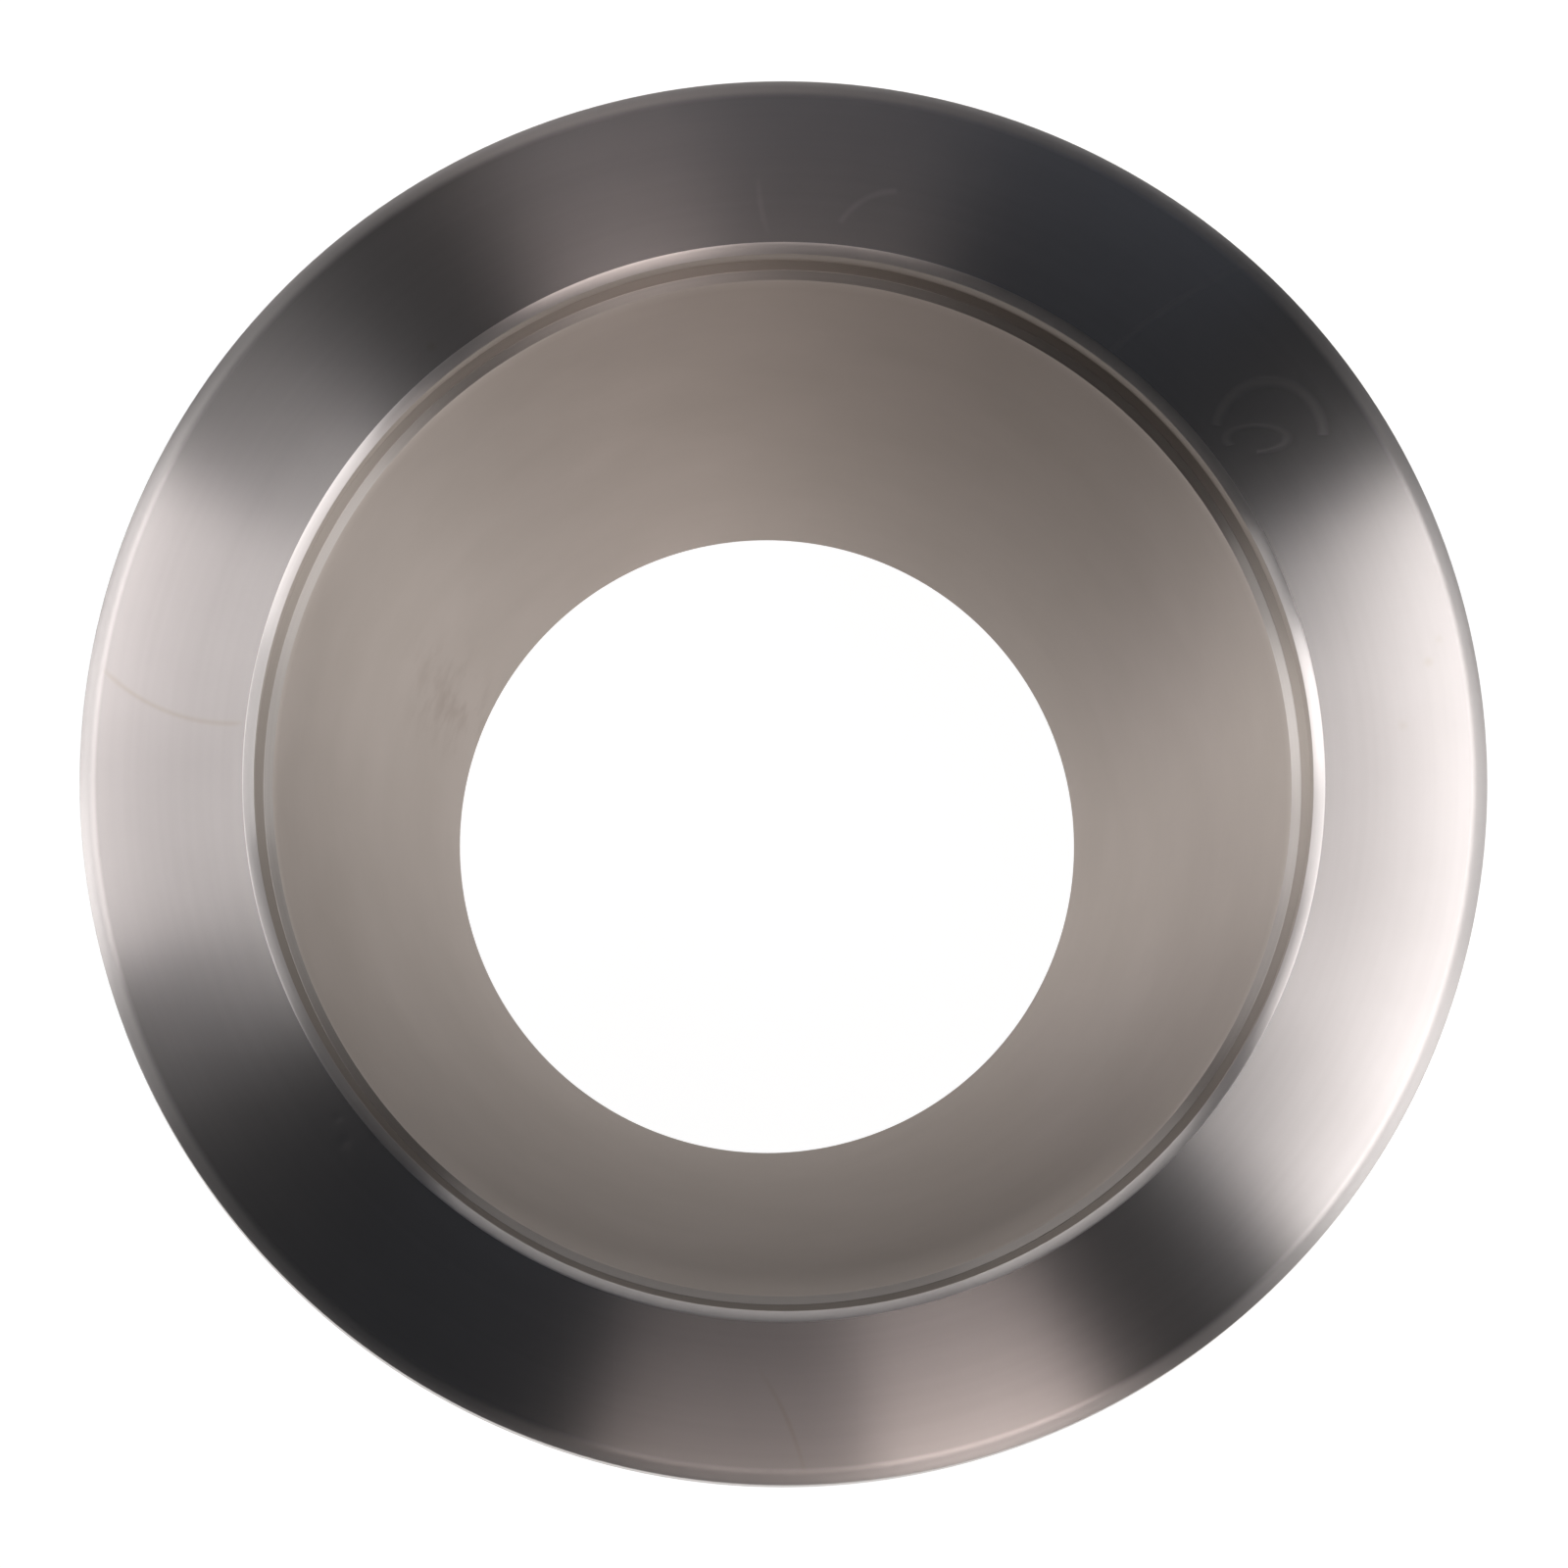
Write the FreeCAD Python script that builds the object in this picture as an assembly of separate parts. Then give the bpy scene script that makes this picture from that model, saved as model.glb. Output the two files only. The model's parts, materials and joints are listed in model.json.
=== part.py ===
import FreeCAD, Part
import math
import os

# %% Vacuum reducer with clamp flanges, nominal bore 40 at the large end and 25 at the small end
# One turned piece of stainless steel: a large clamp flange, a conical body and a small clamp flange.
# Frame: origin at the centre of the small flange's sealing face, +Z up the bore to the large flange.
# All sizes are millimetres.

# %% Sealing face to sealing face
OVERALL_LENGTH = 40.0

# %% Large end
LARGE_FLANGE_DIAMETER = 55.0
LARGE_SEAT_DIAMETER = 41.4      # counterbore that takes the centring ring
LARGE_SEAT_DEPTH = 3.0
LARGE_BORE_DIAMETER = 40.0
LARGE_BORE_LENGTH = 1.6         # straight stretch between the seat and the cone
LARGE_NECK_DIAMETER = 44.0      # where the jaws of the clamp close

# %% Small end
SMALL_FLANGE_DIAMETER = 40.0
SMALL_SEAT_DIAMETER = 26.3
SMALL_SEAT_DEPTH = 3.0
SMALL_BORE_DIAMETER = 25.3      # the cone runs down to this mouth in the seat's floor
SMALL_NECK_DIAMETER = 31.0

# %% What both flanges share
RIM_WIDTH = 2.9                 # straight edge of the flange, along the bore
CLAMP_TAPER_DEG = 15.0          # slope of the flange's back, measured from square to the bore
CLAMP_ROOM = 8.0                # half a clamp's width, kept free behind each sealing face

# %% Edges left by the turning tool
RIM_FRONT_BEVEL = 0.45
RIM_BACK_BEVEL = 0.3
SEAT_MOUTH_BEVEL = 0.42
SEAT_CORNER_BEVEL = 0.3         # what the tool's nose leaves at the foot of the seat's wall
NECK_RADIUS = 1.0               # root of the clamp taper
INNER_BLEND_RADIUS = 6.0        # straight bore into cone
OUTER_BLEND_RADIUS = 4.0        # necks into the body's cone

SHARP = "sharp"
BEVEL = "bevel"
ROUND = "round"
LONGEST_SHARE = 0.45            # most of a side that the cut at one of its ends may use up


# %% Outline helpers
def along(corner, towards, distance):
    """The point that far from the corner on its way to another point."""
    way = towards - corner
    way.normalize()
    return corner + way * distance


def cut_corner(before, corner, after, cut, size):
    """What is left of a corner: itself if sharp, a bevel's two ends, or an arc's ends and its middle."""
    if cut == SHARP:
        return [corner]
    to_before = before - corner
    to_after = after - corner
    half_angle = to_before.getAngle(to_after) / 2
    wanted = size if cut == BEVEL else size / math.tan(half_angle)
    setback = min(wanted, LONGEST_SHARE * min(to_before.Length, to_after.Length))
    start = along(corner, before, setback)
    end = along(corner, after, setback)
    if cut == BEVEL:
        return [start, end]
    radius = setback * math.tan(half_angle)
    depth = radius / math.sin(half_angle) - radius
    return [start, along(corner, (start + end) / 2, depth), end]


def outline(corners):
    """Closed wire in the XZ plane through (radius, height, cut, size of the cut) corners."""
    points = [FreeCAD.Vector(radius, 0, height) for radius, height, _, _ in corners]
    count = len(points)
    cuts = []
    for i, (_, _, cut, size) in enumerate(corners):
        cuts.append(cut_corner(points[i - 1], points[i], points[(i + 1) % count], cut, size))
    edges = []
    for i, cut in enumerate(cuts):
        if len(cut) == 2:
            edges.append(Part.LineSegment(*cut).toShape())
        if len(cut) == 3:
            edges.append(Part.Arc(*cut).toShape())
        edges.append(Part.LineSegment(cut[-1], cuts[(i + 1) % count][0]).toShape())
    return Part.Wire(Part.__sortEdges__(edges))


# %% The two ends of a flange's stretch of the outline
def seat_corners(face, inward, seat_diameter, seat_depth, bore_diameter):
    """From the bore's edge out to the sealing face. inward is +1 or -1, from that face into the part."""
    floor = face + inward * seat_depth
    return [
        (bore_diameter / 2, floor, SHARP, 0),
        (seat_diameter / 2, floor, BEVEL, SEAT_CORNER_BEVEL),
        (seat_diameter / 2, face, BEVEL, SEAT_MOUTH_BEVEL),
    ]


def rim_corners(face, inward, flange_diameter, neck_diameter):
    """From the sealing face over the rim and down the clamp taper to the end of the neck."""
    rim = flange_diameter / 2
    neck = neck_diameter / 2
    back = face + inward * RIM_WIDTH
    taper_foot = back + inward * (rim - neck) * math.tan(math.radians(CLAMP_TAPER_DEG))
    return [
        (rim, face, BEVEL, RIM_FRONT_BEVEL),
        (rim, back, BEVEL, RIM_BACK_BEVEL),
        (neck, taper_foot, ROUND, NECK_RADIUS),
        (neck, face + inward * CLAMP_ROOM, ROUND, OUTER_BLEND_RADIUS),
    ]


# %% The whole section: up the outside, then down the inside
def reducer_section():
    small_face, into_small = 0.0, 1
    large_face, into_large = OVERALL_LENGTH, -1
    small_rim = rim_corners(small_face, into_small, SMALL_FLANGE_DIAMETER, SMALL_NECK_DIAMETER)
    large_rim = rim_corners(large_face, into_large, LARGE_FLANGE_DIAMETER, LARGE_NECK_DIAMETER)
    large_seat = seat_corners(
        large_face, into_large, LARGE_SEAT_DIAMETER, LARGE_SEAT_DEPTH, LARGE_BORE_DIAMETER
    )
    small_seat = seat_corners(
        small_face, into_small, SMALL_SEAT_DIAMETER, SMALL_SEAT_DEPTH, SMALL_BORE_DIAMETER
    )
    cone_top = large_face - LARGE_SEAT_DEPTH - LARGE_BORE_LENGTH
    cone_start = (LARGE_BORE_DIAMETER / 2, cone_top, ROUND, INNER_BLEND_RADIUS)
    return outline(small_rim + large_rim[::-1] + large_seat[::-1] + [cone_start] + small_seat)


def reducer_body():
    """The section turned once round the bore's axis."""
    axis_point = FreeCAD.Vector(0, 0, 0)
    bore_axis = FreeCAD.Vector(0, 0, 1)
    solid = Part.Face(reducer_section()).revolve(axis_point, bore_axis, 360)
    if solid.Volume < 0:
        solid.reverse()
    return solid


# %% Build and write
body = reducer_body()
box = body.optimalBoundingBox(False, False)
print("valid", body.isValid(), "solids", len(body.Solids), "volume mm3", round(body.Volume, 1))
print("box mm", [round(v, 3) for v in (box.XLength, box.YLength, box.ZMin, box.ZMax)])
os.makedirs("parts", exist_ok=True)
body.exportStep("parts/reducer_body.step")
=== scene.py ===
# %% [markdown]
# A vacuum reducer joins a wide vacuum pipe to a narrow one. This one is turned from a single piece of
# stainless steel: a large clamp flange on top, a cone, and a small clamp flange that it stands on.
# The photograph looks almost straight down into the large end, so what it shows is mostly finish: the
# bright fans that fine turning marks make on the sealing face, and the satin grey of the cone inside.
# The lesson spins the piece from one section and then spends its effort on those finishes and their light.

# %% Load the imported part
import bpy
import bmesh
import json
import math
from mathutils import Matrix, Vector


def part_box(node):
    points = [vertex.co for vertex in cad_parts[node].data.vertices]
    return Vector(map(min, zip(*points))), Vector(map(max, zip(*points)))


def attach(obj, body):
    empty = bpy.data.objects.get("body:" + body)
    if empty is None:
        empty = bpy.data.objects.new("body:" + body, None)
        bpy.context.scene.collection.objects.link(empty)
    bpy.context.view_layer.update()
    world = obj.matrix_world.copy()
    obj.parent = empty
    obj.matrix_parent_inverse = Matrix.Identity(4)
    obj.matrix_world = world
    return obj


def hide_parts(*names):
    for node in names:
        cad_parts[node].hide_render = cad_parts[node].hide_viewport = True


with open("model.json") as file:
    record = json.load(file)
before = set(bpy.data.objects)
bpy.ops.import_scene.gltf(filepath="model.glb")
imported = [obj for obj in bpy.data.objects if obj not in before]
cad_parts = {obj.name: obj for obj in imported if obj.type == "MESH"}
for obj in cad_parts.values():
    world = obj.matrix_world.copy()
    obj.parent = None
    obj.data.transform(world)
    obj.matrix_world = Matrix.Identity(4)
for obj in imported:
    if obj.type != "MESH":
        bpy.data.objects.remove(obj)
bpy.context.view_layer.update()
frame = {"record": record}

# %% [markdown]
# The part's sizes come from the frame, so that the dressed piece always fits the model it stands for.
# The box gives the length and the large flange, and the mounts give the seats and the small flange.
# What neither of them holds, such as a neck or a blend, is written here, in millimetres like the rest.

# %% Sizes, in millimetres
MM = 0.001
mounts = {mount["name"]: mount for mount in frame["record"]["mounts"]}


def mount_radius(name):
    return mounts[name]["dims"]["r_mm"]


lowest, highest = (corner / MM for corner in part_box("reducer_body"))
SMALL_FACE = lowest.z
LARGE_FACE = highest.z
LARGE_RIM = highest.x
LARGE_SEAT = mount_radius("large_seat")
SMALL_RIM = mount_radius("small_rim")
SMALL_SEAT = mount_radius("small_seat")

LARGE_BORE = 20.0
SMALL_BORE = 12.65
LARGE_NECK = 22.0
SMALL_NECK = 15.5
SEAT_DEPTH = 3.0
BORE_LENGTH = 1.6
RIM_WIDTH = 2.9
CLAMP_ROOM = 8.0
CLAMP_TAPER = math.radians(15)
print("length", LARGE_FACE - SMALL_FACE, "rims", LARGE_RIM, SMALL_RIM, "seats", LARGE_SEAT, SMALL_SEAT)

# %% [markdown]
# A turned part is fully described by its section, the outline that a saw cut along the axis would show.
# Each corner of the outline says how the tool left it: how much of both sides its cut takes off, and in
# how many facets. One facet is a straight bevel, and several make a round. Even an edge that looks sharp
# has a hair's breadth broken off it, because a truly sharp edge catches no light.
# The lengths that several corners share come first.

# %% Slopes, blends and the cuts at the edges
ROUND_STEPS = 8
BREAK_STEPS = 2
CROWN_WIDTH = 0.44
CROWN_DROP = 0.14
CROWN_ROUND = 0.22
RIM_BACK_BREAK = 0.3
MOUTH_WIDTH = 0.42
MOUTH_DROP = 0.26
SEAT_BEVEL = 0.34
SMALL_SEAT_BEVEL = 0.17
EDGE_BREAK = 0.03
NECK_RADIUS = 1.0
INNER_BLEND = 6.0
OUTER_BLEND = 4.0


def setback(radius, turn):
    """How much of each side a round of that radius takes off, where the outline turns by that angle."""
    return radius * math.tan(turn / 2)


outer_slope = math.atan((LARGE_NECK - SMALL_NECK) / (LARGE_FACE - SMALL_FACE - 2 * CLAMP_ROOM))
cone_height = LARGE_FACE - SMALL_FACE - 2 * SEAT_DEPTH - BORE_LENGTH
inner_slope = math.atan((LARGE_BORE - SMALL_BORE) / cone_height)
root = setback(NECK_RADIUS, math.pi / 2 - CLAMP_TAPER)
outer_blend = setback(OUTER_BLEND, outer_slope)
inner_blend = setback(INNER_BLEND, inner_slope)
small_taper = RIM_WIDTH + (SMALL_RIM - SMALL_NECK) * math.tan(CLAMP_TAPER)
large_taper = RIM_WIDTH + (LARGE_RIM - LARGE_NECK) * math.tan(CLAMP_TAPER)
print("slopes of the cone, deg:", [round(math.degrees(s), 1) for s in (inner_slope, outer_slope)])

# %% [markdown]
# The corners are then listed once, each by its distance from the axis and its height: up the outside from
# the small sealing face to the large one, and down the inside through both seats and the cone.

# %% The corners of the section
corners = []


def corner(radius, height, size, steps):
    corners.append((radius, height, size, steps))


corner(SMALL_RIM - CROWN_WIDTH, SMALL_FACE, CROWN_ROUND, ROUND_STEPS)
corner(SMALL_RIM, SMALL_FACE + CROWN_DROP, EDGE_BREAK, BREAK_STEPS)
corner(SMALL_RIM, SMALL_FACE + RIM_WIDTH, RIM_BACK_BREAK, BREAK_STEPS)
corner(SMALL_NECK, SMALL_FACE + small_taper, root, ROUND_STEPS)
corner(SMALL_NECK, SMALL_FACE + CLAMP_ROOM, outer_blend, ROUND_STEPS)
corner(LARGE_NECK, LARGE_FACE - CLAMP_ROOM, outer_blend, ROUND_STEPS)
corner(LARGE_NECK, LARGE_FACE - large_taper, root, ROUND_STEPS)
corner(LARGE_RIM, LARGE_FACE - RIM_WIDTH, RIM_BACK_BREAK, BREAK_STEPS)
corner(LARGE_RIM, LARGE_FACE - CROWN_DROP, EDGE_BREAK, BREAK_STEPS)
corner(LARGE_RIM - CROWN_WIDTH, LARGE_FACE, CROWN_ROUND, ROUND_STEPS)
corner(LARGE_SEAT + MOUTH_WIDTH, LARGE_FACE, EDGE_BREAK, BREAK_STEPS)
corner(LARGE_SEAT, LARGE_FACE - MOUTH_DROP, EDGE_BREAK, BREAK_STEPS)
corner(LARGE_SEAT, LARGE_FACE - SEAT_DEPTH, SEAT_BEVEL, 1)
corner(LARGE_BORE, LARGE_FACE - SEAT_DEPTH, SEAT_BEVEL, 1)
corner(LARGE_BORE, SMALL_FACE + SEAT_DEPTH + cone_height, inner_blend, ROUND_STEPS)
corner(SMALL_BORE, SMALL_FACE + SEAT_DEPTH, EDGE_BREAK, BREAK_STEPS)
corner(SMALL_SEAT, SMALL_FACE + SEAT_DEPTH, SMALL_SEAT_BEVEL, 1)
corner(SMALL_SEAT, SMALL_FACE + MOUTH_DROP, EDGE_BREAK, BREAK_STEPS)
corner(SMALL_SEAT + MOUTH_WIDTH, SMALL_FACE, EDGE_BREAK, BREAK_STEPS)
print("corners:", len(corners))

# %% [markdown]
# Blender's bevel can cut the corners of a flat face, so the section starts as one face through them.
# Each corner's vertex is bevelled by its own size. A profile of 0.5 makes several facets a true arc.
# Then the face goes and its border stays, ready to be spun.

# %% Cut the corners
section = bmesh.new()
points = [section.verts.new((radius * MM, 0, height * MM)) for radius, height, _, _ in corners]
section.faces.new(points)
for point, (_, _, size, steps) in zip(points, corners):
    bmesh.ops.bevel(
        section, geom=[point], affect="VERTICES", offset_type="OFFSET", offset=size * MM,
        segments=steps, profile=0.5, material=-1,
    )
bmesh.ops.delete(section, geom=section.faces[:], context="FACES_ONLY")
print("points round the section:", len(section.verts))

# %% [markdown]
# The lathe turns the part under the tool, and a full spin of the border does the same. With 256 steps the
# rim stays within about two thousandths of a millimetre of a true circle. The last step merges into the
# first, so the skin is closed, and its normals are worked out afterwards.

# %% Spin the section round the bore
TURN_STEPS = 256
WELD = 0.002 * MM
bmesh.ops.spin(
    section, geom=section.verts[:] + section.edges[:], cent=(0, 0, 0), axis=(0, 0, 1),
    angle=2 * math.pi, steps=TURN_STEPS, use_merge=True,
)
bmesh.ops.remove_doubles(section, verts=section.verts[:], dist=WELD)
bmesh.ops.recalc_face_normals(section, faces=section.faces[:])
print("faces", len(section.faces), "open edges", sum(not edge.is_manifold for edge in section.edges))

# %% [markdown]
# The real piece carries several finishes, each left by a different cut. The sealing faces, with the rounded
# edge beside them, are faced off with a fine feed. The mouth of each seat is cut with a form tool.
# The seat's wall and floor, the satin bore with its cone, and the outside are turned one after another.
# A patch of the spun skin finds its finish from its place and from the way it looks: outwards, inwards,
# or along the axis. Picking by place keeps every ring complete, which picking by hand would not.

# %% Sort the skin by finish
FINISHES = ["sealing_face", "mouth_bevel", "seat_wall", "seat_step", "satin_bore", "turned_outside"]
OUTWARD = 0.02
FLAT = 0.999


def finish_of(face):
    middle = face.calc_center_median()
    depth = min(middle.z / MM - SMALL_FACE, LARGE_FACE - middle.z / MM)
    outward = face.normal.dot(Vector((middle.x, middle.y, 0)).normalized())
    if outward > OUTWARD:
        return "sealing_face" if depth < CROWN_DROP else "turned_outside"
    if depth < MOUTH_DROP:
        return "sealing_face" if abs(face.normal.z) > FLAT else "mouth_bevel"
    if depth < SEAT_DEPTH - EDGE_BREAK:
        return "seat_wall"
    return "seat_step" if depth < SEAT_DEPTH + SEAT_BEVEL else "satin_bore"


for face in section.faces:
    face.material_index = FINISHES.index(finish_of(face))
    face.smooth = True
patches = [sum(face.material_index == i for face in section.faces) for i in range(len(FINISHES))]
print(dict(zip(FINISHES, patches)))

# %% [markdown]
# The skin becomes a mesh with its place in its own vertices. Edges that turn by more than 25 degrees stay
# crisp, such as those of the bevel in the seat's corner. The others are shaded as smooth curves.

# %% Make the piece
CRISP = math.radians(25)
skin = bpy.data.meshes.new("reducer")
section.to_mesh(skin)
section.free()
skin.set_sharp_from_angle(angle=CRISP)
reducer = bpy.data.objects.new("reducer", skin)
bpy.context.scene.collection.objects.link(reducer)
print("piece", reducer.name, "polygons", len(skin.polygons))

# %% [markdown]
# Shader arithmetic reads best as arithmetic. A `Wire` is one output of a node, and adding or multiplying
# wires adds the Math nodes. A `Recipe` is the node tree of one finish, and makes every other kind of node
# in a single way: what the node is, its settings, and what goes into its sockets.

# %% Wires
class Wire:
    """One output of a node, that can be used in sums and products."""

    def __init__(self, recipe, socket):
        self.recipe = recipe
        self.socket = socket

    def other(self, name):
        """Another output of the same node."""
        return Wire(self.recipe, self.socket.node.outputs[name])

    def math(self, operation, *values):
        return self.recipe.node("ShaderNodeMath", {"operation": operation}, values)

    def __add__(self, other):
        return self.math("ADD", self, other)

    def __sub__(self, other):
        return self.math("SUBTRACT", self, other)

    def __rsub__(self, other):
        return self.math("SUBTRACT", other, self)

    def __mul__(self, other):
        return self.math("MULTIPLY", self, other)

    def __truediv__(self, other):
        return self.math("DIVIDE", self, other)

    __radd__ = __add__
    __rmul__ = __mul__

    def root(self):
        return self.math("SQRT", self)

    def size(self):
        return self.math("ABSOLUTE", self)

    def rise(self, start, end):
        """0 up to start, 1 from end on, with a soft rise between. Swapped ends make it a fall."""
        soft = {"interpolation_type": "SMOOTHSTEP"}
        return self.recipe.node("ShaderNodeMapRange", soft, [self, start, end])


# %% [markdown]
# The Mix node keeps sockets for numbers, vectors and colours under the same names, so the ones for colours
# are picked by their place in the list.

# %% Recipes
MIX_SHARE = 0
MIX_FIRST_COLOUR = 6
MIX_SECOND_COLOUR = 7
MIX_COLOUR = 2


class Recipe:
    """The nodes of a material or a world."""

    def __init__(self, tree):
        self.tree = tree
        tree.nodes.clear()

    def node(self, kind, settings, inputs, output=0):
        """Adds a node. Inputs are values or wires, in order or by name."""
        made = self.tree.nodes.new(kind)
        for name, value in settings.items():
            setattr(made, name, value)
        named = inputs.items() if isinstance(inputs, dict) else enumerate(inputs)
        for key, value in named:
            if isinstance(value, Wire):
                self.tree.links.new(value.socket, made.inputs[key])
            else:
                made.inputs[key].default_value = value
        return Wire(self, made.outputs[output]) if len(made.outputs) else None

    def blend(self, share, first, second):
        """The first colour where share is 0 and the second where it is 1."""
        first, second = [colour if isinstance(colour, Wire) else (*colour, 1) for colour in (first, second)]
        inputs = {MIX_SHARE: share, MIX_FIRST_COLOUR: first, MIX_SECOND_COLOUR: second}
        return self.node("ShaderNodeMix", {"data_type": "RGBA"}, inputs, MIX_COLOUR)


def new_material(name):
    material = bpy.data.materials.new(name)
    material.use_nodes = True
    return material, Recipe(material.node_tree)


# %% [markdown]
# Everything on a turned part runs round its axis, so the patterns want to know how far out a point is and
# which way round. Object coordinates come in metres. They are turned to millimetres first, so that the
# sizes in the recipes read as they would on a drawing.

# %% Where a point of the surface is
GROOVE_CLIMB = 1.37


class Place:
    """A point of the surface in millimetres, and its distance and direction from the axis."""

    def __init__(self, recipe):
        self.recipe = recipe
        metres = recipe.node("ShaderNodeTexCoord", {}, [], "Object")
        scaling = {0: metres, "Scale": 1 / MM}
        self.point = recipe.node("ShaderNodeVectorMath", {"operation": "SCALE"}, scaling)
        self.x = recipe.node("ShaderNodeSeparateXYZ", {}, [self.point], "X")
        self.y = self.x.other("Y")
        self.z = self.x.other("Z")
        self.radius = (self.x * self.x + self.y * self.y).root()
        self.east = self.x / self.radius
        self.north = self.y / self.radius

    def grooves(self, pitch, patches):
        """Noise of the turning marks: new every pitch millimetres of feed, slow along each groove."""
        feed = (self.radius + self.z * GROOVE_CLIMB) / pitch
        stretched = self.recipe.node(
            "ShaderNodeCombineXYZ", {}, [self.east * patches, self.north * patches, feed]
        )
        return self.recipe.node("ShaderNodeTexNoise", {}, {"Vector": stretched, "Scale": 1.0, "Detail": 2.0})

    def cloud(self, size):
        """Soft noise with features about size millimetres across."""
        inputs = {"Vector": self.point, "Scale": 1 / size, "Detail": 3.0}
        return self.recipe.node("ShaderNodeTexNoise", {}, inputs)


print("a groove pattern moves on", GROOVE_CLIMB, "times as fast along the axis as across it")

# %% [markdown]
# Turned steel scatters light across its grooves and hardly at all along them. The shader's own
# anisotropy does that: its direction runs round the vertical axis by itself, and a quarter turn sends
# the wide side of the highlight across the grooves. The alternative, a bump map of every groove, would need
# them far finer than a pixel. Only the faint unevenness between grooves is bumped and toned here.

# %% From marks to metal
ACROSS_GROOVES = 0.25


def bumped(recipe, height):
    """The normal of a surface whose marks have that height in millimetres."""
    return recipe.node("ShaderNodeBump", {}, {"Strength": 1.0, "Distance": MM, "Height": height})


def metal(recipe, tint, roughness, normal, grain):
    """Steel of a finish. A grain of 1 spreads a highlight ten times as far across the grooves as along."""
    return recipe.node(
        "ShaderNodeBsdfPrincipled", {},
        {
            "Base Color": tint, "Metallic": 1.0, "Roughness": roughness, "Normal": normal,
            "Anisotropic": grain, "Anisotropic Rotation": ACROSS_GROOVES,
        },
    )


def surface(recipe, shader):
    recipe.node("ShaderNodeOutputMaterial", {}, {"Surface": shader})


def finished(material):
    """Gives the skin its next finish, in the order of FINISHES."""
    skin.materials.append(material)
    print("finish", len(skin.materials), material.name, "nodes", len(material.node_tree.nodes))


# %% [markdown]
# The sealing face is the brightest surface. Under a magnifier its grooves are a little steeper on the side
# away from the axis, and that shows: a lamp's fan is bright on the lamp's own side of the ring and several
# times weaker on the opposite side. Tipping the normal outwards by a few degrees gives the same.
# Lamps alone could not, because a level face shows each of them about equally on both sides.

# %% The lean of the grooves
def leaning(recipe, place, normal, lean):
    """A normal tipped away from the axis by that slope."""
    outward = recipe.node("ShaderNodeCombineXYZ", {}, [place.east, place.north, 0.0])
    push = recipe.node("ShaderNodeVectorMath", {"operation": "SCALE"}, {0: outward, "Scale": lean})
    tipped = recipe.node("ShaderNodeVectorMath", {"operation": "ADD"}, [normal, push])
    return recipe.node("ShaderNodeVectorMath", {"operation": "NORMALIZE"}, [tipped])


FACE_LEAN = 0.08
print("the face's normal leans outwards by", round(math.degrees(math.atan(FACE_LEAN)), 1), "deg")

# %% [markdown]
# The face is used, and the photograph shows it: a looped scratch and a straight one at the upper right,
# a brownish hair line at the left, a dark one at the bottom, two rubs at the top, brown spots at the right
# and one at the upper left, and a few dust specks at the lower left.
# Each line is the arc of a circle or a pressed circle with soft ends, and each spot a soft round one.
# They could be painted on an image, but formulas stay sharp at any size and need no unwrapping.

# %% Lines and spots
ARC_FADE = 0.02


def arc(place, centre, radius, towards, half, width, flatten=1.0):
    """A soft line along an arc, 1 on the line and 0 off it.

    towards is the bearing of its middle as seen from the centre, and half is how far it reaches either
    way, in degrees. flatten above 1 presses the circle into a lying ellipse.
    """
    right = place.x - centre[0]
    above = (place.y - centre[1]) * flatten
    reach = (right * right + above * above).root()
    line = (reach - radius).size().rise(width, 0.0)
    bearing = math.radians(towards)
    along = (right * math.cos(bearing) + above * math.sin(bearing)) / reach
    end = math.cos(math.radians(half))
    return line * along.rise(end - ARC_FADE, end + ARC_FADE)


def spot(place, centre, radius):
    """A soft round spot, 1 at its middle and 0 outside it."""
    right = place.x - centre[0]
    above = place.y - centre[1]
    return (right * right + above * above).root().rise(radius, 0.0)


print("a line fades out over the last", round(math.degrees(math.acos(1 - ARC_FADE)), 1), "degrees or less")

# %% [markdown]
# The marks are placed from the middle of the face, as the photograph shows them. The factor after a mark
# says how strong it is beside the others.

# %% Marks on the large face
def scratches(place):
    return (
        arc(place, (19.0, 13.6), radius=2.1, towards=85, half=85, width=0.3)
        + arc(place, (18.5, 13.45), radius=1.2, towards=60, half=150, width=0.28, flatten=2.3) * 0.8
        + arc(place, (26.2, 2.0), radius=20.0, towards=125, half=7, width=0.2)
        + arc(place, (4.4, 20.55), radius=2.6, towards=119, half=29, width=0.2) * 0.2
        + arc(place, (5.0, 23.6), radius=6.0, towards=190, half=7, width=0.2) * 0.2
    )


def stains(place):
    return (
        arc(place, (-21.6, 9.15), radius=6.93, towards=249, half=24, width=0.17) * 0.7
        + arc(place, (-10.9, -29.7), radius=12.0, towards=22, half=8, width=0.15) * 0.8
        + spot(place, (25.2, 4.7), 0.3) * 0.6
        + spot(place, (25.6, 5.6), 0.24) * 0.4
        + spot(place, (24.2, 2.2), 0.3) * 0.4
        + spot(place, (-13.8, 17.0), 0.3) * 0.5
    )


def dust(place):
    return (
        spot(place, (-17.15, -14.15), 0.4)
        + spot(place, (-15.8, -14.0), 0.35)
        + spot(place, (-13.1, -18.75), 0.4)
        + spot(place, (-13.3, -17.7), 0.3) * 0.6
        + spot(place, (-17.4, -13.2), 0.3) * 0.6
    )


# %% [markdown]
# Among the fine grooves of the face are coarser ones, so two metals are mixed, and the coarse one has a
# larger part in a scratch. The edge by the rim is eased with emery cloth: there the coarse metal takes
# over, the marks no longer lean, and the tone is duller. A scratch is a shallow groove, so it goes into the
# bump, and its two flanks find light even where the face itself is dark. A speck of dust stands up.

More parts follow.
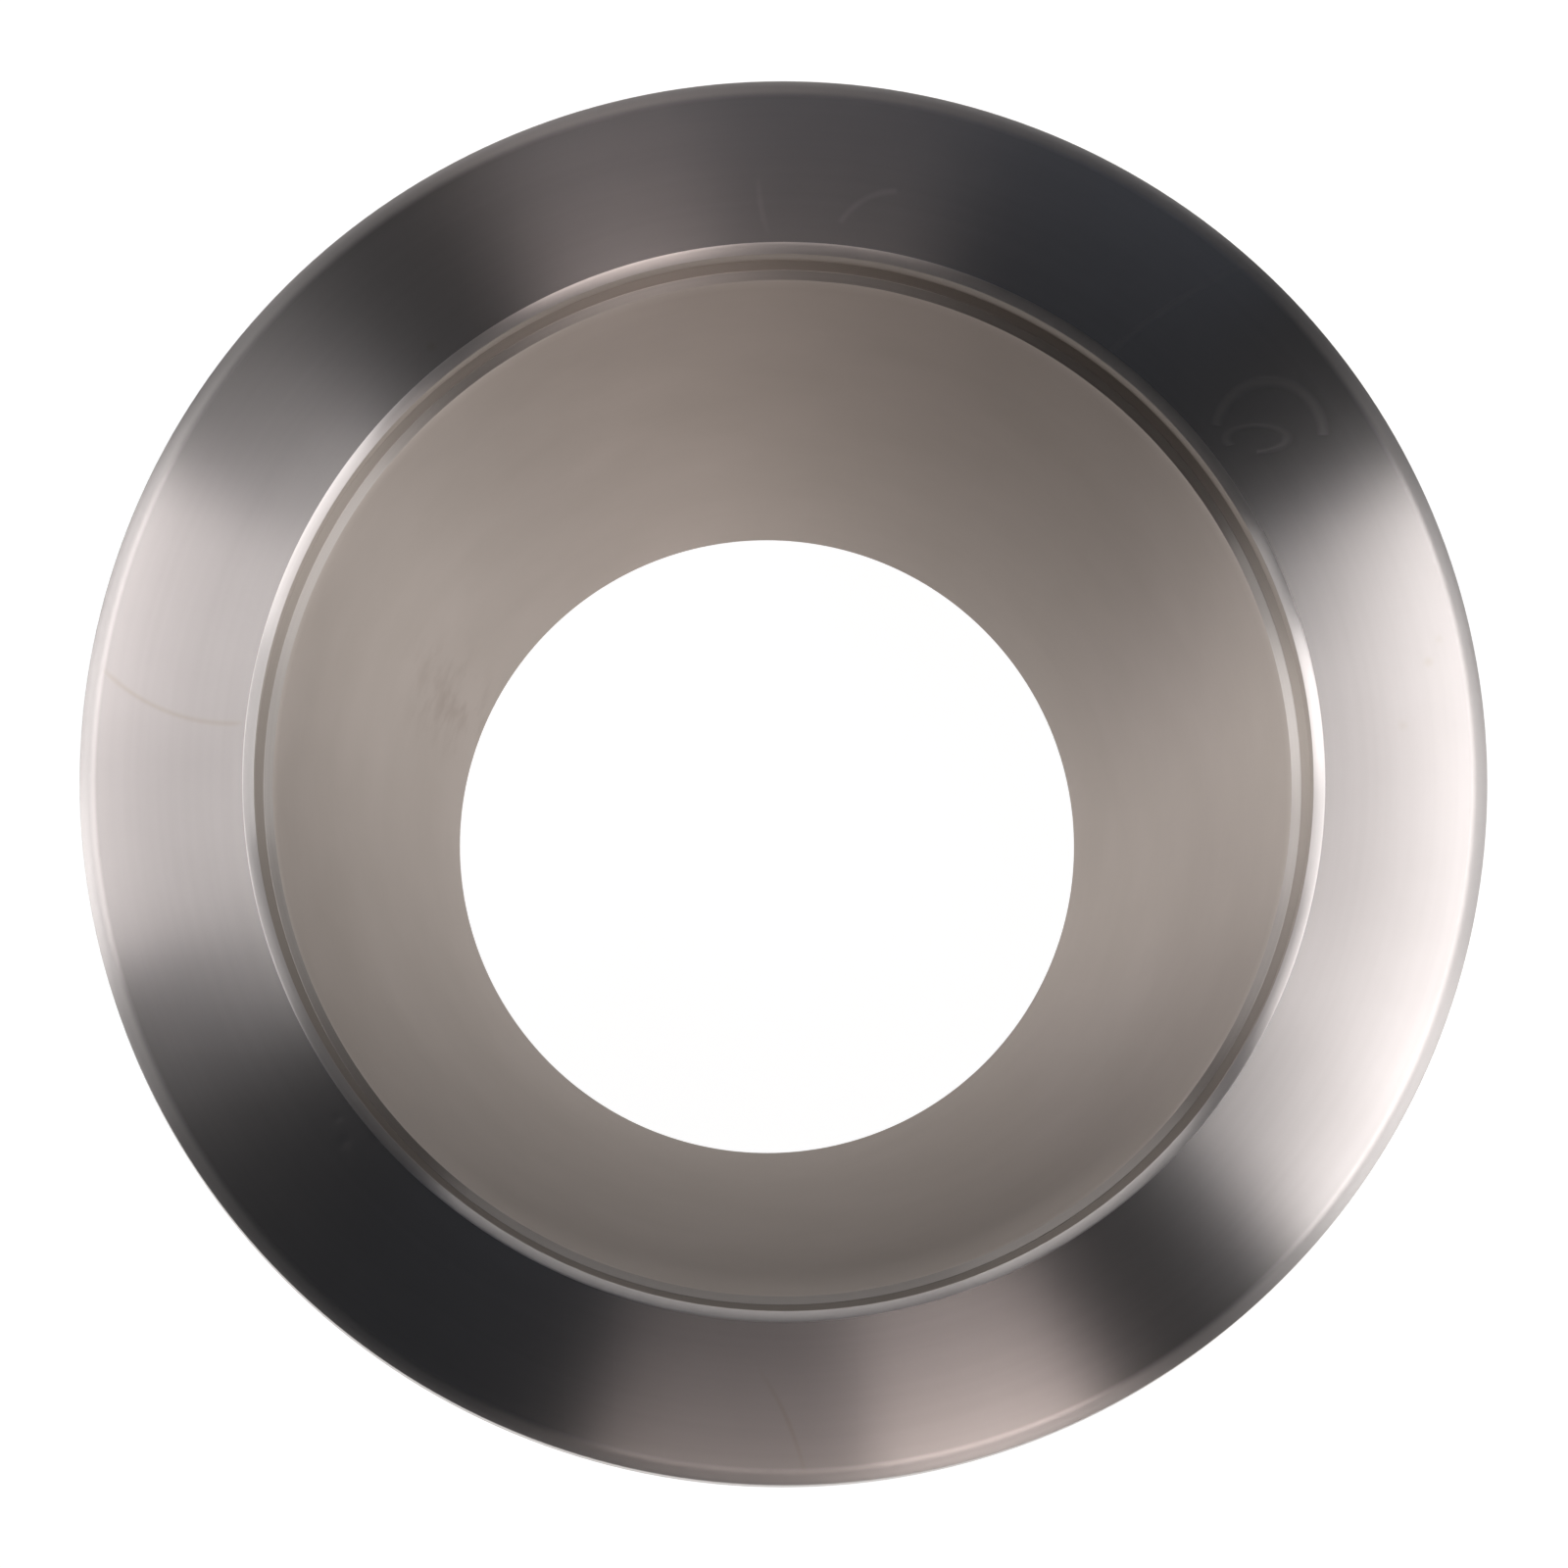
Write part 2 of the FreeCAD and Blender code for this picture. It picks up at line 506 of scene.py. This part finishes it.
# %% The sealing face
FACE_ROUGHNESS = 0.185
COARSER = 0.1
COARSE_SHARE = 0.28
COARSE_IN_SCRATCH = 0.25
EASED_WIDTH = 0.7
EASED_FULLY = 0.35
SCRATCH_DEPTH = 0.0006
DUST_HEIGHT = 0.003
STAIN_STRENGTH = 0.35


def sealing_face():
    material, recipe = new_material("sealing_face")
    place = Place(recipe)
    rings = place.grooves(pitch=0.3, patches=1.2)
    bands = place.grooves(pitch=1.6, patches=1.0)
    haze = place.cloud(5.0)
    scratched = scratches(place)
    stained = stains(place)
    dusty = dust(place)
    tint = recipe.blend(0.6 * haze + 0.4 * rings, (0.63, 0.58, 0.565), (0.77, 0.715, 0.70))
    tint = recipe.blend(stained * STAIN_STRENGTH, tint, (0.5, 0.4, 0.26))
    eased = place.radius.rise(LARGE_RIM - EASED_WIDTH, LARGE_RIM - EASED_FULLY)
    tint = recipe.blend(eased * 0.8, tint, (0.54, 0.51, 0.5))
    height = dusty * DUST_HEIGHT - scratched * SCRATCH_DEPTH
    normal = leaning(recipe, place, bumped(recipe, height), FACE_LEAN * (1 - eased))
    roughness = FACE_ROUGHNESS + 0.006 * rings + 0.008 * bands
    fine = metal(recipe, tint, roughness, normal, grain=1.0)
    coarse = metal(recipe, tint, roughness + COARSER + 0.06 * eased, normal, grain=1.0)
    share = COARSE_SHARE + (1 - COARSE_SHARE) * eased + COARSE_IN_SCRATCH * scratched
    surface(recipe, recipe.node("ShaderNodeMixShader", {}, [share, fine, coarse]))
    return material


finished(sealing_face())

# %% [markdown]
# The mouth's bevel is one narrow pass of a form tool, which leaves a bright ring with few marks.
# It slopes towards the axis, so it mirrors what stands on the far side of the room. Only its own roughness
# and tone are set here, and the lamps do the rest.

# %% The form tool's bevel
def mouth_bevel():
    material, recipe = new_material("mouth_bevel")
    place = Place(recipe)
    rings = place.grooves(pitch=0.2, patches=2.0)
    tint = recipe.blend(rings, (0.64, 0.60, 0.585), (0.715, 0.67, 0.66))
    normal = bumped(recipe, rings * 0.0002)
    surface(recipe, metal(recipe, tint, 0.285 + 0.03 * rings, normal, grain=1.0))
    return material


finished(mouth_bevel())

# %% [markdown]
# The seat takes the centring ring. Its wall is duller than the rest, and its tint is set darker, which
# paints the shade that falls on the wall inside the seat. Its floor, which shows as a thin ledge round the
# bore, is faced like the sealing face but more coarsely.

# %% The seat
def seat_wall():
    material, recipe = new_material("seat_wall")
    place = Place(recipe)
    bands = place.grooves(pitch=0.5, patches=2.0)
    # The wall's darker tint is painted shade of the seat, not a colour of the steel.
    tint = recipe.blend(bands, (0.425, 0.377, 0.34), (0.495, 0.44, 0.40))
    normal = bumped(recipe, bands * 0.0006)
    surface(recipe, metal(recipe, tint, 0.42 + 0.06 * bands, normal, grain=0.96))
    return material


def seat_step():
    material, recipe = new_material("seat_step")
    place = Place(recipe)
    rings = place.grooves(pitch=0.25, patches=2.0)
    tint = recipe.blend(rings, (0.61, 0.565, 0.54), (0.69, 0.645, 0.615))
    normal = bumped(recipe, rings * 0.0003)
    surface(recipe, metal(recipe, tint, 0.34 + 0.04 * rings, normal, grain=1.0))
    return material


finished(seat_wall())
finished(seat_step())

# %% [markdown]
# The cone is bored with a feed that leaves satin grey: the highlight is wide, and the grain is still there
# but weaker. A soft haze keeps the large plain surface from looking painted. A brown smudge sits beside
# the small opening, at its upper left, and is a patch of haze inside a soft spot.

# %% The satin bore and cone
SMUDGE_STRENGTH = 0.4


def satin_bore():
    material, recipe = new_material("satin_bore")
    place = Place(recipe)
    rings = place.grooves(pitch=0.5, patches=3.0)
    haze = place.cloud(5.0)
    tint = recipe.blend(haze, (0.53, 0.473, 0.43), (0.625, 0.561, 0.52))
    smudge = spot(place, (-12.9, 5.5), 3.0) * place.cloud(1.6).rise(0.4, 0.7)
    tint = recipe.blend(smudge * SMUDGE_STRENGTH, tint, (0.38, 0.31, 0.27))
    roughness = 0.59 + 0.06 * haze + 0.04 * rings
    normal = bumped(recipe, rings * 0.0008)
    surface(recipe, metal(recipe, tint, roughness, normal, grain=0.88))
    return material


finished(satin_bore())

# %% [markdown]
# The outside is hidden in the photograph. Such parts are turned there in longer passes, so it gets bands
# of slightly different gloss and marks that are a little deeper than those of the faces.

# %% The outside
def turned_outside():
    material, recipe = new_material("turned_outside")
    place = Place(recipe)
    rings = place.grooves(pitch=0.3, patches=3.0)
    bands = place.grooves(pitch=0.9, patches=1.5)
    tint = recipe.blend(bands, (0.55, 0.52, 0.50), (0.62, 0.59, 0.57))
    normal = bumped(recipe, rings * 0.0012)
    surface(recipe, metal(recipe, tint, 0.3 + 0.12 * bands, normal, grain=0.8))
    return material


finished(turned_outside())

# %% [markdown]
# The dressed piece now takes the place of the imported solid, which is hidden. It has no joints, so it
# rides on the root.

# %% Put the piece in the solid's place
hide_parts("reducer_body")
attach(reducer, "root")
print("finishes:", [material.name for material in skin.materials])

# %% [markdown]
# The floor is plain and pale. The camera, and whatever mirrors or lets through its rays, see it as white.
# Light that falls on it counts for a little as well, which keeps the part's soft shadow. It lies a hair
# below the small flange, so that the two never share a plane.

# %% Floor
FLOOR_HALF = 3.0
FLOOR_DROP = 0.02 * MM
FLOOR_GLOW = 0.95
FLOOR_PALE = (0.2, 0.2, 0.2, 1)
WHITE = (1, 1, 1, 1)


def shown_rays(recipe):
    """1 for what the camera sees, directly or in a gloss or through glass, and 0 for the light that falls."""
    camera_ray = recipe.node("ShaderNodeLightPath", {}, [], "Is Camera Ray")
    return camera_ray + camera_ray.other("Is Glossy Ray") + camera_ray.other("Is Transmission Ray")


floor_mesh = bpy.data.meshes.new("floor")
sheet = bmesh.new()
lowered = Matrix.Translation((0, 0, -FLOOR_DROP))
bmesh.ops.create_grid(sheet, x_segments=1, y_segments=1, size=FLOOR_HALF, matrix=lowered)
sheet.to_mesh(floor_mesh)
sheet.free()
floor = bpy.data.objects.new("floor", floor_mesh)
bpy.context.scene.collection.objects.link(floor)
paper, recipe = new_material("floor")
shown = shown_rays(recipe) * FLOOR_GLOW
glow = recipe.node("ShaderNodeEmission", {}, {"Color": WHITE, "Strength": shown})
matt = recipe.node("ShaderNodeBsdfDiffuse", {}, {"Color": FLOOR_PALE})
surface(recipe, recipe.node("ShaderNodeAddShader", {}, [glow, matt]))
floor_mesh.materials.append(paper)
print("floor, metres across:", 2 * FLOOR_HALF)

# %% [markdown]
# The room is dim and slightly blue, which is what the dark fans on the steel mirror. A low white backdrop
# stands all round, and fades out a few degrees above the horizon.

# %% Room
ROOM = 0.02
ROOM_BLUE = (0.92, 1.0, 1.1)
BACKDROP_TOP = math.sin(math.radians(4.5))
BACKDROP_SOLID = math.sin(math.radians(2.5))
world = bpy.data.worlds.new("studio")
world.use_nodes = True
bpy.context.scene.world = world
recipe = Recipe(world.node_tree)
upward = recipe.node("ShaderNodeTexCoord", {}, [], "Generated")
upward = recipe.node("ShaderNodeSeparateXYZ", {}, [upward], "Z")
backdrop = upward.rise(BACKDROP_TOP, BACKDROP_SOLID) * shown_rays(recipe)
shade = recipe.blend(backdrop, ROOM_BLUE, WHITE[:3])
air = recipe.node("ShaderNodeBackground", {}, {"Color": shade, "Strength": ROOM + (1 - ROOM) * backdrop})
recipe.node("ShaderNodeOutputWorld", {}, {"Surface": air})
print("the room's light is", ROOM, "of white")

# %% [markdown]
# A turned face mirrors the room in fans: a point of it shows whatever stands in line with it and the axis.
# So each lamp is an upright soft box, placed by the bearings of its two sides and its height above the
# horizon. High boxes make the fans of the face. Low ones light the cone and the mouth's bevel, and stand
# where the photograph's soft spots in the cone look.

# %% Soft boxes
BOX_DISTANCE = 1.2
NEUTRAL = (1.0, 1.0, 1.0)
WARM = (1.0, 0.9, 0.86)
ROSY = (1.0, 0.98, 0.985)
COOL = (0.75, 0.95, 1.3)


def soft_box(name, bearings, heights, brightness, colour=NEUTRAL):
    """A lamp that fills those bearings, from +X towards +Y, and those heights, all in degrees."""
    start, end = (math.radians(bearing) for bearing in bearings)
    bottom, top = (BOX_DISTANCE * math.tan(math.radians(height)) for height in heights)
    light = bpy.data.lights.new(name, "AREA")
    light.shape = "RECTANGLE"
    width = 2 * BOX_DISTANCE * math.tan((end - start) / 2)
    light.size = width
    light.size_y = top - bottom
    light.color = colour
    light.energy = brightness * math.pi * width * (top - bottom)
    lamp = bpy.data.objects.new(name, light)
    bpy.context.scene.collection.objects.link(lamp)
    middle = (start + end) / 2
    towards = Vector((math.cos(middle), math.sin(middle), 0))
    lamp.location = towards * BOX_DISTANCE + Vector((0, 0, (bottom + top) / 2))
    lamp.rotation_mode = "QUATERNION"
    lamp.rotation_quaternion = (-towards).to_track_quat("-Z", "Y")
    lamp.visible_camera = False


soft_box("left_top", (145, 168), (54, 68), 4.7, ROSY)
soft_box("left_top_front", (168, 187), (54, 68), 4.0, ROSY)
soft_box("left_middle", (147, 189), (40, 54), 1.9)
soft_box("left_low", (176, 192), (26, 40), 3.0)
soft_box("left_foot", (164, 205), (12, 26), 1.7)
soft_box("right_top", (-31, 34), (64, 76), 4.0)
soft_box("right_middle", (-12, 29), (30, 64), 0.5)
soft_box("right_edge", (-35, -11), (26, 64), 1.8)
soft_box("right_foot", (-44, -14), (0, 12), 1.6, WARM)
soft_box("right_foot_back", (-14, 10), (0, 12), 3.0)
soft_box("front_top", (254, 280), (58, 72), 1.8, WARM)
soft_box("front_edge", (281, 303), (50, 72), 3.8, WARM)
soft_box("front_foot", (273, 293), (0, 14), 0.6, WARM)
soft_box("back_high", (50, 108), (54, 74), 0.055, COOL)
soft_box("back_low", (52, 136), (2, 16), 1.6)
soft_box("back_corner", (108, 140), (2, 16), 0.8)
print("soft boxes:", len(bpy.data.lights))

# %% [markdown]
# The photograph was taken from a little off the axis. How far the small opening is shifted in the picture
# gives the camera's sideways place, and how much smaller it looks than it is gives the distance.
# The picture's up is the part's +Y, so the camera's three directions are built from that.

# %% Camera
PHOTO_SIDE = 1600
PIXELS_PER_MM = 26.13
FACE_CENTRE_PIXEL = (800.1, 796.8)
DISTANCE = 664.0
SIDEWAYS = (-12.6, -48.4)
SENSOR = 36.0
NEAREST = 0.01
FARTHEST = 20

camera_data = bpy.data.cameras.new("camera")
camera = bpy.data.objects.new("camera", camera_data)
bpy.context.scene.collection.objects.link(camera)
bpy.context.scene.camera = camera
rise = math.sqrt(DISTANCE**2 - SIDEWAYS[0] ** 2 - SIDEWAYS[1] ** 2)
line = Vector((*SIDEWAYS, rise)) * MM
camera.location = Vector((0, 0, LARGE_FACE * MM)) + line
backward = line.normalized()
rightward = Vector((0, 1, 0)).cross(backward).normalized()
turn = Matrix((rightward, backward.cross(rightward), backward)).transposed()
camera.rotation_mode = "QUATERNION"
camera.rotation_quaternion = turn.to_quaternion()
camera_data.sensor_width = SENSOR
camera_data.lens = PIXELS_PER_MM * DISTANCE / PHOTO_SIDE * SENSOR
camera_data.shift_x = 0.5 - FACE_CENTRE_PIXEL[0] / PHOTO_SIDE
camera_data.shift_y = FACE_CENTRE_PIXEL[1] / PHOTO_SIDE - 0.5
camera_data.clip_start = NEAREST
camera_data.clip_end = FARTHEST
bpy.context.scene.view_settings.view_transform = "Standard"
print("lens", round(camera_data.lens, 1), "tilt, deg", round(math.degrees(math.acos(rise / DISTANCE)), 2))
